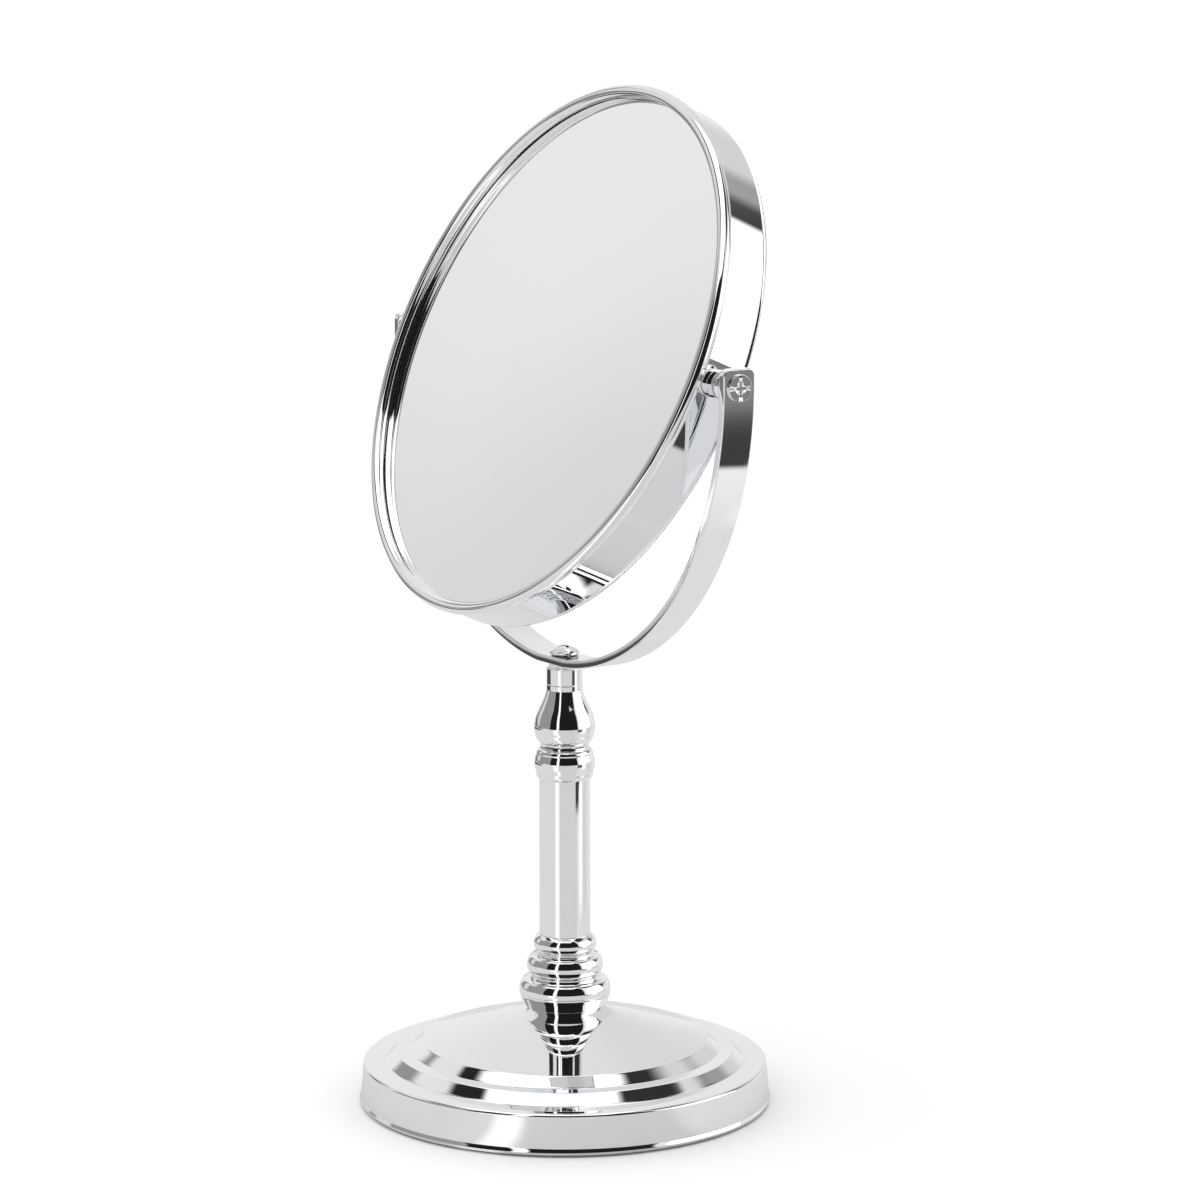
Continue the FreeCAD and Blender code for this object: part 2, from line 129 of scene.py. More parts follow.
def arc_points(start, end, radius):
    """Points between the ends of the short arc from start to end."""
    chord = end - start
    half_turn = math.asin(min(1.0, chord.length / 2 / abs(radius)))
    side = Vector((chord.y, -chord.x)).normalized() * math.copysign(1, radius)
    centre = (start + end) / 2 - side * abs(radius) * math.cos(half_turn)
    steps = max(2, math.ceil(2 * half_turn / ARC_STEP))
    spoke = start - centre
    way = math.copysign(2 * half_turn, spoke.x * (end - centre).y - spoke.y * (end - centre).x)
    points = []
    for k in range(1, steps):
        turn = way * k / steps
        points.append(centre + Vector((spoke.x * math.cos(turn) - spoke.y * math.sin(turn),
                                       spoke.x * math.sin(turn) + spoke.y * math.cos(turn))))
    return points


def held_flat(start, end):
    run = end - start
    if run.length < 1.2:
        return []
    near = run.normalized() * HOLD
    points = []
    if start.x > 0:
        points.append(start + near)
    if end.x > 0:
        points.append(end - near)
    return points


def draw_line(name, points, to_space):
    """One vertex, pulled out along the points as a line of edges."""
    put_down_everything()
    bpy.ops.mesh.primitive_plane_add(size=MM, location=(0, 0, 0))
    piece = bpy.context.object
    piece.name = name
    piece.data.name = name
    edit(piece)
    bpy.ops.mesh.merge(type="CENTER")
    spots = [to_space(p) for p in points]
    bpy.ops.transform.translate(value=spots[0])
    for before, after in zip(spots, spots[1:]):
        bpy.ops.mesh.extrude_region_move(TRANSFORM_OT_translate={"value": after - before})
    return piece


def close_up():
    bpy.ops.mesh.select_all(action="SELECT")
    bpy.ops.mesh.remove_doubles(threshold=0.002 * MM)
    bpy.ops.mesh.normals_make_consistent(inside=False)
    done_editing()


def turned(name, corners, edge=0.15, steps=ROUND_STEPS, height=0.0, turn=(0, 0, 0)):
    """A piece turned on the lathe round its own Z from a closed half section (radius, height)."""
    outline = rounded(corners if corners[-1][:2] == corners[0][:2] else corners + [corners[0]])
    piece = draw_line(name, outline, lambda p: Vector((p.x, 0, p.y)) * MM)
    bpy.ops.mesh.select_all(action="SELECT")
    bpy.ops.mesh.remove_doubles(threshold=0.002 * MM)
    bpy.ops.mesh.select_all(action="SELECT")
    bpy.ops.mesh.spin(steps=steps, angle=math.tau, center=(0, 0, 0), axis=(0, 0, 1))
    close_up()
    if edge:
        apply_modifier(piece, "BEVEL", width=edge * MM, segments=2, limit_method="ANGLE",
                       angle_limit=math.radians(28), use_clamp_overlap=True)
    set_in_place(piece, height, turn)
    smooth(piece)
    return piece


def set_in_place(piece, height, turn):
    """Turns the piece about the origin, lifts it, and puts both in its mesh."""
    take(piece)
    piece.rotation_euler = turn
    piece.location = (0, 0, height * MM)
    bpy.ops.object.transform_apply(location=True, rotation=True, scale=True)


def finish_piece(piece, body, material, node):
    piece.data.materials.clear()
    piece.data.materials.append(material)
    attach(piece, body)
    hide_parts(node)
    return piece


# ---------------------------------------------------------------- shared surface effects

def new_group(name, inputs, outputs):
    group = bpy.data.node_groups.new(name, "ShaderNodeTree")
    for socket, kind, value in inputs:
        made = group.interface.new_socket(socket, in_out="INPUT", socket_type=kind)
        made.default_value = value
    for socket, kind in outputs:
        group.interface.new_socket(socket, in_out="OUTPUT", socket_type=kind)
    return group, group.nodes.new("NodeGroupInput"), group.nodes.new("NodeGroupOutput")


def noise(tree, vector, scale, detail=3.0, roughness=0.5):
    node = tree.nodes.new("ShaderNodeTexNoise")
    node.inputs["Detail"].default_value = detail
    node.inputs["Roughness"].default_value = roughness
    tree.links.new(vector, node.inputs["Vector"])
    if isinstance(scale, (int, float)):
        node.inputs["Scale"].default_value = scale
    else:
        tree.links.new(scale, node.inputs["Scale"])
    return node.outputs["Fac"]


def spread(tree, value, low, high, to_low, to_high):
    node = tree.nodes.new("ShaderNodeMapRange")
    node.interpolation_type = "SMOOTHSTEP"
    for name, number in (("From Min", low), ("From Max", high), ("To Min", to_low), ("To Max", to_high)):
        if isinstance(number, (int, float)):
            node.inputs[name].default_value = number
        else:
            tree.links.new(number, node.inputs[name])
    tree.links.new(value, node.inputs["Value"])
    return node.outputs["Result"]


def blend_colours(tree, mask, first, second):
    node = tree.nodes.new("ShaderNodeMix")
    node.data_type = "RGBA"
    tree.links.new(mask, node.inputs["Factor"])
    for socket, colour in ((6, first), (7, second)):
        if isinstance(colour, tuple):
            node.inputs[socket].default_value = colour
        else:
            tree.links.new(colour, node.inputs[socket])
    return node.outputs[2]


def handling_marks():
    """Soft smears left by hands and cloth: where they are, the surface is a little duller."""
    group, given, out = new_group("handling marks", [
        ("Vector", "NodeSocketVector", (0, 0, 0)),
        ("Scale", "NodeSocketFloat", 30.0),
        ("Clean Roughness", "NodeSocketFloat", 0.03),
        ("Marked Roughness", "NodeSocketFloat", 0.09),
    ], [("Roughness", "NodeSocketFloat"), ("Mask", "NodeSocketFloat")])
    smears = noise(group, given.outputs["Vector"], given.outputs["Scale"], 5.0, 0.62)
    mask = spread(group, smears, 0.52, 0.74, 0.0, 1.0)
    group.links.new(mask, out.inputs["Mask"])
    rough = spread(group, mask, 0.0, 1.0,
                   given.outputs["Clean Roughness"], given.outputs["Marked Roughness"])
    group.links.new(rough, out.inputs["Roughness"])
    return group


def fine_waves():
    """The slight unevenness of a polished surface, as a height."""
    group, given, out = new_group("polishing waves", [
        ("Vector", "NodeSocketVector", (0, 0, 0)),
        ("Scale", "NodeSocketFloat", 60.0),
    ], [("Height", "NodeSocketFloat")])
    waves = noise(group, given.outputs["Vector"], given.outputs["Scale"], 2.0)
    group.links.new(waves, out.inputs["Height"])
    return group


MARKS = handling_marks()
WAVES = fine_waves()


def new_material(name):
    material = bpy.data.materials.new(name)
    material.use_nodes = True
    tree = material.node_tree
    place = tree.nodes.new("ShaderNodeTexCoord").outputs["Object"]
    return material, tree, tree.nodes["Principled BSDF"], place


def place_group(tree, group, place, **values):
    node = tree.nodes.new("ShaderNodeGroup")
    node.node_tree = group
    tree.links.new(place, node.inputs["Vector"])
    for name, value in values.items():
        node.inputs[name.replace("_", " ")].default_value = value
    return node


def add_relief(tree, shader, height, distance, strength=1.0):
    bump = tree.nodes.new("ShaderNodeBump")
    bump.inputs["Strength"].default_value = strength
    bump.inputs["Distance"].default_value = distance
    tree.links.new(height, bump.inputs["Height"])
    tree.links.new(bump.outputs["Normal"], shader.inputs["Normal"])


def stretched(tree, place, scale):
    node = tree.nodes.new("ShaderNodeMapping")
    node.inputs["Scale"].default_value = scale
    tree.links.new(place, node.inputs["Vector"])
    return node.outputs["Vector"]


def chrome(name, tint=(0.93, 0.94, 0.955), marks=26.0, clean=0.02, marked=0.06, waves=45.0, depth=0.000004):
    """Bright chrome plate: nearly clean, with faint smears and polishing waves."""
    material, tree, shader, place = new_material(name)
    shader.inputs["Metallic"].default_value = 1.0
    worn = place_group(tree, MARKS, place, Scale=marks, Clean_Roughness=clean, Marked_Roughness=marked)
    duller = tuple(c * 0.965 for c in tint) + (1.0,)
    colour = blend_colours(tree, worn.outputs["Mask"], tint + (1.0,), duller)
    tree.links.new(colour, shader.inputs["Base Color"])
    tree.links.new(worn.outputs["Roughness"], shader.inputs["Roughness"])
    add_relief(tree, shader, place_group(tree, WAVES, place, Scale=waves).outputs["Height"], depth)
    return material


def silvered_glass(name, tint):
    """A mirror: silver behind clear glass, with hardly visible cloth marks."""
    material, tree, shader, place = new_material(name)
    shader.inputs["Metallic"].default_value = 1.0
    shader.inputs["IOR"].default_value = 1.5
    worn = place_group(tree, MARKS, place, Scale=14.0, Clean_Roughness=0.006, Marked_Roughness=0.02)
    dusty = tuple(c * 0.985 for c in tint) + (1.0,)
    colour = blend_colours(tree, worn.outputs["Mask"], tint + (1.0,), dusty)
    tree.links.new(colour, shader.inputs["Base Color"])
    tree.links.new(worn.outputs["Roughness"], shader.inputs["Roughness"])
    return material


def dull_metal(name, dark, light, scale, rough_low, rough_high, grain=(1, 1, 1), depth=0.00001):
    """Machined, plated or cast metal that is mostly hidden."""
    material, tree, shader, place = new_material(name)
    shader.inputs["Metallic"].default_value = 1.0
    speckle = noise(tree, stretched(tree, place, grain), scale, 6.0, 0.65)
    mask = spread(tree, speckle, 0.35, 0.68, 0.0, 1.0)
    tree.links.new(blend_colours(tree, mask, dark + (1.0,), light + (1.0,)), shader.inputs["Base Color"])
    tree.links.new(spread(tree, speckle, 0.3, 0.7, rough_low, rough_high), shader.inputs["Roughness"])
    add_relief(tree, shader, speckle, depth)
    return material


def felt():
    material, tree, shader, place = new_material("black felt")
    fibres = noise(tree, place, 2600.0, 8.0, 0.8)
    clumps = noise(tree, place, 260.0, 4.0, 0.6)
    mask = spread(tree, fibres, 0.3, 0.75, 0.0, 1.0)
    tree.links.new(blend_colours(tree, mask, (0.006, 0.006, 0.007, 1), (0.045, 0.045, 0.05, 1)),
                   shader.inputs["Base Color"])
    tree.links.new(spread(tree, clumps, 0.3, 0.7, 0.85, 0.98), shader.inputs["Roughness"])
    shader.inputs["Sheen Weight"].default_value = 0.35
    add_relief(tree, shader, fibres, 0.00018)
    return material


def plain_stuff(name, dark, light, scale, roughness, depth=0.00003):
    """Nylon, rubber or board: a mottled, matt material."""
    material, tree, shader, place = new_material(name)
    grain = noise(tree, place, scale, 5.0, 0.6)
    mask = spread(tree, grain, 0.35, 0.7, 0.0, 1.0)
    tree.links.new(blend_colours(tree, mask, dark + (1.0,), light + (1.0,)), shader.inputs["Base Color"])
    rough = spread(tree, grain, 0.3, 0.7, roughness - 0.06, roughness + 0.06)
    tree.links.new(rough, shader.inputs["Roughness"])
    add_relief(tree, shader, grain, depth)
    return material


FOOT_CHROME = chrome("pressed chrome", marks=18.0, waves=22.0, depth=0.000006)
TURNED_CHROME = chrome("turned chrome", marks=60.0, clean=0.015, marked=0.05, waves=120.0, depth=0.000002)
TUBE_CHROME = chrome("drawn tube chrome", marks=40.0, clean=0.03, marked=0.07, waves=50.0, depth=0.000003)
STRAP_CHROME = chrome("strap chrome", marks=24.0, clean=0.03, marked=0.07, waves=30.0, depth=0.000008)
BAND_CHROME = chrome("drum chrome", marks=22.0, clean=0.02, marked=0.05, waves=26.0, depth=0.000004)
BEZEL_CHROME = chrome("rolled chrome", marks=32.0, clean=0.015, marked=0.045, waves=60.0, depth=0.000003)
PLAIN_SILVER = silvered_glass("silvered flat glass", (0.95, 0.958, 0.955))
HOLLOW_SILVER = silvered_glass("silvered hollow glass", (0.94, 0.95, 0.95))
CAST_IRON = dull_metal("sand-cast iron", (0.03, 0.03, 0.032), (0.09, 0.088, 0.085), 900.0, 0.6, 0.85,
                       depth=0.0002)
PLATED_STEEL = dull_metal("zinc-plated steel", (0.36, 0.37, 0.38), (0.58, 0.59, 0.61), 500.0, 0.28, 0.45)
BRASS = dull_metal("machined brass", (0.45, 0.31, 0.11), (0.72, 0.55, 0.24), 700.0, 0.22, 0.4,
                   grain=(1, 1, 12))
FELT = felt()
NYLON = plain_stuff("natural nylon", (0.66, 0.65, 0.6), (0.78, 0.77, 0.73), 400.0, 0.42)
RUBBER = plain_stuff("black rubber", (0.012, 0.012, 0.013), (0.03, 0.03, 0.032), 700.0, 0.6)
BOARD = plain_stuff("grey board", (0.3, 0.26, 0.2), (0.46, 0.41, 0.33), 900.0, 0.9, 0.0001)


# ---------------------------------------------------------------- foot

def make_foot():
    foot = 74.3
    rim, rim_height = 73.3, 15.4
    wall, lift = 1.2, bottom("base_shell")
    ledge, step = 15.9, 19.7
    cone_edge, cone_edge_height = 51.6, 23.2
    flare, flare_height = 19.0, 33.0
    collar, collar_height = 14.4, bottom("ring_collar")
    bore = 3.2
    shell = turned("foot_shell", [
        (foot - wall, lift), (foot, lift), (foot + 0.5, lift + 1.0), (foot, lift + 2.2),
        (rim, rim_height - 1.0), (rim - 1.0, rim_height, 1.2),
        (65.4, ledge), (64.9, ledge + 0.4, -1.0), (61.7, step - 0.3), (61.2, step, 0.8),
        (56.4, step), (55.9, step + 0.3, -1.0),
        (52.1, cone_edge_height - 0.3), (cone_edge, cone_edge_height, 0.8),
        (flare, flare_height), (collar, collar_height, -11.5),
        (bore, collar_height), (bore, collar_height - wall), (collar, collar_height - wall),
        (flare, flare_height - wall),
        (cone_edge - wall, cone_edge_height - wall), (cone_edge - wall, step - wall),
        (60.0, step - wall), (60.0, ledge - wall), (rim - wall, rim_height - wall),
    ], edge=0.12, steps=224)
    finish_piece(shell, "stand", FOOT_CHROME, "base_shell")
    radius, thick = reach("base_pad"), top("base_pad")
    pad = turned("foot_pad", [(0, 0), (radius, 0), (radius, thick), (0, thick)], edge=0.3)
    finish_piece(pad, "stand", FELT, "base_pad")


# ---------------------------------------------------------------- column

def make_ring_collar():
    base, crown = bottom("ring_collar"), top("ring_collar")
    collar = turned("ring_stack", [
        (3.1, base), (14.4, base), (16.5, 42.2, 9.0), (15.2, 45.4, 6.0), (12.6, 46.2, -1.6),
        (12.6, 47.2, -0.8), (12.6, 54.0, 5.6), (10.0, 54.8, -1.4), (10.25, 55.8, -0.8),
        (10.25, crown - 0.6, 4.0), (TUBE + 0.4, crown), (TUBE, crown), (TUBE, 57), (3.1, 57),
    ], edge=0.1)
    finish_piece(collar, "stand", TURNED_CHROME, "ring_collar")


def make_column():
    low, high = bottom("column_tube"), top("column_tube")
    tube = turned("outer_tube", [(TUBE - 1, low), (TUBE, low), (TUBE, high), (TUBE - 1, high)])
    finish_piece(tube, "stand", TUBE_CHROME, "column_tube")
    foot, crown = 119.7, top("bead_collar")
    bead = turned("bead_collar_ring", [
        (TUBE, foot), (TUBE + 0.5, foot), (10.2, foot + 2.2, 3.2),
        (10.2, crown - 3.0, 7.6), (8.9, crown - 0.8, 2.0),
        (8.9, crown), (6.5, crown), (6.5, high), (TUBE, high),
    ], edge=0.12)
    finish_piece(bead, "stand", TURNED_CHROME, "bead_collar")
    inner = reach("inner_tube")
    low, high = bottom("inner_tube"), top("inner_tube")
    slide = turned("inner_slide_tube", [(inner - 1, low), (inner, low), (inner, high), (inner - 1, high)])
    finish_piece(slide, "slider", TUBE_CHROME, "inner_tube")


def make_bell():
    start = bottom("bell_cap")
    crown = top("bell_cap")
    inner = reach("inner_tube")
    bell = turned("bell", [
        (inner, start), (8.9, start), (8.9, start + 0.6),
        (10.6, 136.0, 4.0), (10.8, 140.2, 6.0), (8.8, 146.0, 16.0),
        (6.5, crown - 2.2, -26.0), (6.5, crown), (inner, crown),
    ], edge=0.12)
    finish_piece(bell, "slider", TURNED_CHROME, "bell_cap")
    neck_foot, neck, neck_top = bottom("neck_cap"), reach("neck_cap"), top("neck_cap")
    cap = turned("neck", [
        (2.5, neck_foot), (inner, neck_foot), (inner, crown), (neck, crown), (neck, neck_top - 0.5),
        (neck - 0.5, neck_top), (2.5, neck_top),
    ], edge=0.12)
    finish_piece(cap, "slider", TURNED_CHROME, "neck_cap")


# ---------------------------------------------------------------- yoke

STRAP = 3.0
STRAP_WIDTH = 12.5
PAD_HALF = 9.0
ARM_END = 6.5
ARM_CORNER = 2.4


def make_strap():
    """Half of the strap: pulled down from the arm's end, bent round the pivot line, then drawn flat to
    the middle.  The other half is its mirror image."""
    crest = PIVOT + ARM_END
    centre = ((YOKE - STRAP / 2) * MM, 0, crest * MM)
    put_down_everything()
    bpy.ops.mesh.primitive_plane_add(size=1, location=centre)
    strap = bpy.context.object
    strap.name = "half_ring_strap"
    strap.data.name = "half_ring_strap"
    edit(strap)
    bpy.ops.transform.resize(value=(STRAP * MM, STRAP_WIDTH * MM, 1), center_override=centre)
    for drop in (ARM_CORNER + 0.6, ARM_END - ARM_CORNER - 0.6):
        bpy.ops.mesh.extrude_region_move(TRANSFORM_OT_translate={"value": (0, 0, -drop * MM)})
    bend = math.acos(PAD_HALF / YOKE)
    bpy.ops.mesh.spin(steps=72, angle=bend, center=(0, 0, PIVOT * MM), axis=(0, -1, 0))
    for pull in (0.5, PAD_HALF - 0.5):
        bpy.ops.mesh.extrude_region_move(TRANSFORM_OT_translate={"value": (-pull * MM, 0, 0)})
    bpy.ops.transform.resize(value=(0, 1, 1), center_override=(0, 0, 0))
    bpy.ops.mesh.delete(type="ONLY_FACE")
    done_editing()
    bpy.ops.object.transform_apply(location=True, rotation=True, scale=True)
    apply_modifier(strap, "MIRROR", use_axis=(True, False, False), merge_threshold=0.01 * MM)
    round_arm_ends(strap, crest)
    edit(strap)
    close_up()
    return strap


def round_arm_ends(strap, crest):
    """Rounds the upright corners of both arm ends, across the strap's width."""
    edit(strap)
    bpy.ops.mesh.select_all(action="DESELECT")
    bpy.ops.mesh.select_mode(type="EDGE")
    done_editing()
    for edge in strap.data.edges:
        first, second = (strap.data.vertices[i].co for i in edge.vertices)
        at_top = min(first.z, second.z) > (crest - 0.01) * MM
        edge.select = at_top and abs(first.y - second.y) < 0.01 * MM
    bpy.ops.object.mode_set(mode="EDIT")
    bpy.ops.mesh.bevel(offset=ARM_CORNER * MM, segments=8, affect="EDGES")
    bpy.ops.mesh.select_mode(type="VERT")
    done_editing()


def make_yoke():
    strap = make_strap()
    apply_modifier(strap, "BEVEL", width=0.45 * MM, segments=3, limit_method="ANGLE",
                   angle_limit=math.radians(40))
    smooth(strap, 30)
    finish_piece(strap, "yoke", STRAP_CHROME, "yoke_strap")


# ---------------------------------------------------------------- screws and pivots

def cut_cross(piece, crown, head_radius, depth):
    """Cuts a cross recess down from the crown, along the piece's own Z."""
    cutters = []
    for across, along in ((head_radius, head_radius * 0.2), (head_radius * 0.2, head_radius)):
        put_down_everything()
        bpy.ops.mesh.primitive_cube_add(size=1, location=(0, 0, crown * MM))
        cutter = bpy.context.object
        edit(cutter)
        bpy.ops.transform.resize(value=(across * MM, along * MM, depth * 2 * MM),
                                 center_override=(0, 0, crown * MM))
        done_editing()
        bpy.ops.object.transform_apply(location=True, rotation=True, scale=True)
        cutters.append(cutter)
    for cutter in cutters:
        apply_modifier(piece, "BOOLEAN", object=cutter, operation="DIFFERENCE", solver="EXACT")
        bpy.data.objects.remove(cutter)


def round_head_screw(name, foot, shank, seat, head_radius, crown, doming, recess,
                     height=0.0, turn=(0, 0, 0)):
    """A screw or pin with a low round head and a cross recess, made upright and then set in place.
    Doming and recess are parts of the head's height."""
    rim = seat + (crown - seat) * (1 - doming)
    rise = crown - rim
    ball = (head_radius ** 2 + rise ** 2) / (2 * rise)
    screw = turned(name, [
        (0, foot), (shank - 0.3, foot), (shank, foot + 0.3), (shank, seat),
        (head_radius, seat), (head_radius, rim), (0, crown, ball),
    ], edge=0.12, steps=96)
    cut_cross(screw, crown, head_radius, (crown - seat) * recess)
    set_in_place(screw, height, turn)
    smooth(screw)
    return screw


def make_swivel():
    low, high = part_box("yoke_screw")
    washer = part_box("wave_washer")[1].z / MM
    screw = round_head_screw("swivel_screw", low.z / MM, 2.5, washer, reach("yoke_screw"), high.z / MM,
                             0.8, 0.5)
    finish_piece(screw, "slider", TURNED_CHROME, "yoke_screw")
    for name, node, material, slot_name in (
            ("spring_washer", "wave_washer", PLATED_STEEL, "steel"),
            ("slip_washer", "swivel_washer", NYLON, "nylon")):
        radius, low, high = reach(node), bottom(node), top(node)
        ring = turned(name, [(2.5, low), (radius, low), (radius, high), (2.5, high)], edge=0.08, steps=96)
        finish_piece(ring, "slider", material, node)


def span(node, way):
    """Near and far distance of a pivot piece from the middle, along X, in millimetres."""
    low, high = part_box(node)
    return (low.x / MM, high.x / MM) if way > 0 else (-high.x / MM, -low.x / MM)


def make_pivot(side, way):
    quarter = (0, math.radians(90) * way, 0)
    near, far = span(side + "_pivot_pin", way)
    pin = round_head_screw(side + "_pin", near, 2.0, YOKE, 4.6, far, 0.06, 0.15, PIVOT, quarter)
    finish_piece(pin, "yoke", TURNED_CHROME, side + "_pivot_pin")
    near, far = span(side + "_tilt_washer", way)
    washer = turned(side + "_slip_washer", [(2, near), (4.4, near), (4.4, far), (2, far)],
                    0.1, 96, PIVOT, quarter)
    finish_piece(washer, "yoke", NYLON, side + "_tilt_washer")
    near, far = span(side + "_pivot_spacer", way)
    middle = (near + far) / 2
    spacer = turned(side + "_spacer", [
        (2, near), (5.0, near), (5.0, middle - 0.7, 1.7), (4.5, middle - 0.5),
        (4.5, middle + 0.5), (5.0, middle + 0.7), (5.0, far, 1.7), (2, far),
    ], 0.1, 120, PIVOT, quarter)
    finish_piece(spacer, "yoke", TURNED_CHROME, side + "_pivot_spacer")
    near, far = span(side + "_pivot_lug", way)
    lug = turned(side + "_lug", [
        (2.06, near), (3.6, near), (3.6, BAND), (5.0, BAND), (5.0, far), (2.06, far),
    ], 0.2, 120, PIVOT, quarter)
    finish_piece(lug, "head", TURNED_CHROME, side + "_pivot_lug")


# ---------------------------------------------------------------- head

FRONT_DEPTH = 11.8
BACK_DEPTH = 9.8
BEAD = 2.3
BACK_BEAD = 1.2
FRONT_EDGE = FRONT_DEPTH - 2 * BEAD
BACK_EDGE = BACK_DEPTH - 2 * BACK_BEAD
SEAL = 0.35
GLASS = 97.2
GLASS_THICK = 3.0
HOLLOW_THICK = 2.0
HOLLOW_CURVE = 1100.0
TILTED = (HEAD_TURN, 0, 0)


def head_piece(name, corners, node, material, edge=0.12, steps=240):
    piece = turned(name, corners, edge, steps, PIVOT, TILTED)
    return finish_piece(piece, "head", material, node)


def make_bezel(name, node, way, depth, half):
    """A rolled bead on the drum's edge; it curls down on to the glass inside."""
    foot = (depth - 2 * half) * way
    face = depth * way
    middle = HEAD - BEAD
    bulge = half * way
    head_piece(name, [
        (BAND, foot), (middle, face, bulge * 1.08), (middle - half, face - bulge, bulge),
        (middle - half * 0.65, foot + bulge * 0.26, bulge), (middle - half * 0.5, foot),
    ], node, BEZEL_CHROME, 0)


def make_head():
    head_piece("drum_band", [
        (BAND - 1, -BACK_EDGE), (BAND, -BACK_EDGE), (BAND, FRONT_EDGE), (BAND - 1, FRONT_EDGE),
    ], "head_band", BAND_CHROME, 0.15)
    make_bezel("front_rim", "front_bezel", 1, FRONT_DEPTH, BEAD)
    make_bezel("back_rim", "back_bezel", -1, BACK_DEPTH, BACK_BEAD)
    face = FRONT_EDGE - SEAL
    back = face - GLASS_THICK
    head_piece("flat_mirror", [(0, back), (GLASS, back), (GLASS, face), (0, face)],
               "plain_glass", PLAIN_SILVER, 0.2)
    face = SEAL - BACK_EDGE
    sag = HOLLOW_CURVE - math.sqrt(HOLLOW_CURVE ** 2 - GLASS ** 2)
    head_piece("hollow_mirror", [
        (GLASS, face), (GLASS, face + HOLLOW_THICK), (0, face + HOLLOW_THICK + sag, HOLLOW_CURVE),
        (0, face + sag), (GLASS, face, -HOLLOW_CURVE),
    ], "magnifying_glass", HOLLOW_SILVER, 0)
    for name, node, near in (("front_seal", "front_gasket", FRONT_EDGE - SEAL),
                             ("back_seal", "back_gasket", -BACK_EDGE)):
        far = near + SEAL
        head_piece(name, [(96.4, near), (97.1, near), (97.1, far), (96.4, far)], node, RUBBER, 0)


# ---------------------------------------------------------------- nodes kept from the frame

def dress_hidden_nodes():
    finishes = {
        "base_weight": CAST_IRON, "base_cover": PLATED_STEEL, "stud_washer": PLATED_STEEL,
        "stud_nut": PLATED_STEEL, "base_stud": PLATED_STEEL, "tube_plug": BRASS, "screw_insert": BRASS,
        "guide_bush": NYLON, "slide_ring": NYLON, "glass_core": BOARD,
    }
    for node, material in finishes.items():
        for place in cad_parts[node].material_slots:
            place.material = material


# ---------------------------------------------------------------- studio

CAMERA_AZIMUTH = 58.15        # degrees round from straight in front, towards +X
CAMERA_DISTANCE = 1.5058
CAMERA_HEIGHT = 0.4415
CAMERA_DOWN = 9.69
CAMERA_YAW = 0.485


def studio_direction(azimuth, elevation):
    """Azimuth 0 is from the object to the camera, and positive to the camera's right."""
    a, e = math.radians(CAMERA_AZIMUTH + azimuth), math.radians(elevation)
    return Vector((math.sin(a) * math.cos(e), -math.cos(a) * math.cos(e), math.sin(e)))


def place_camera():
    camera = bpy.data.objects.new("camera", bpy.data.cameras.new("camera"))
    bpy.context.collection.objects.link(camera)
    spot = studio_direction(0, 0) * CAMERA_DISTANCE
    camera.location = (spot.x, spot.y, CAMERA_HEIGHT)
    camera.rotation_euler = (math.radians(90 - CAMERA_DOWN), 0, math.radians(CAMERA_AZIMUTH - CAMERA_YAW))
    camera.data.sensor_width = 36
    camera.data.lens = 128.07
    camera.data.clip_end = 100
    bpy.context.scene.camera = camera


def compass(tree, vector):
    """Azimuth in degrees round from the camera's side, and the vector turned to the camera's side."""
    turn = tree.nodes.new("ShaderNodeVectorRotate")
    turn.rotation_type = "Z_AXIS"
    turn.inputs["Angle"].default_value = -math.radians(CAMERA_AZIMUTH)
    tree.links.new(vector, turn.inputs["Vector"])
    split = tree.nodes.new("ShaderNodeSeparateXYZ")
    tree.links.new(turn.outputs["Vector"], split.inputs["Vector"])
    x, y, z = split.outputs
    toward = math_node(tree, "MULTIPLY", y, -1.0)
    azimuth = math_node(tree, "DEGREES", math_node(tree, "ARCTAN2", x, toward))
    return azimuth, x, toward, z


def math_node(tree, operation, *values):
    node = tree.nodes.new("ShaderNodeMath")
    node.operation = operation
    for socket, value in zip(node.inputs, values):
        if isinstance(value, (int, float)):
            socket.default_value = value
        else:
            tree.links.new(value, socket)
    return node.outputs[0]


def window(tree, value, low, high, soft):
    """1 between low and high, falling to 0 over a soft edge on each side."""
    rising = spread(tree, value, low - soft, low + soft, 0.0, 1.0)
    falling = spread(tree, value, high - soft, high + soft, 1.0, 0.0)
    return math_node(tree, "MULTIPLY", rising, falling)


def add_panels(tree, brightness, azimuth, other, panels):
    """Lays panels over a brightness, the later ones on top."""
    for left, right, low, high, soft, other_soft, level in panels:
        mask = math_node(tree, "MULTIPLY", window(tree, azimuth, left, right, soft),
                         window(tree, other, low, high, other_soft))
        brightness = mix_value(tree, mask, brightness, level)
    return brightness


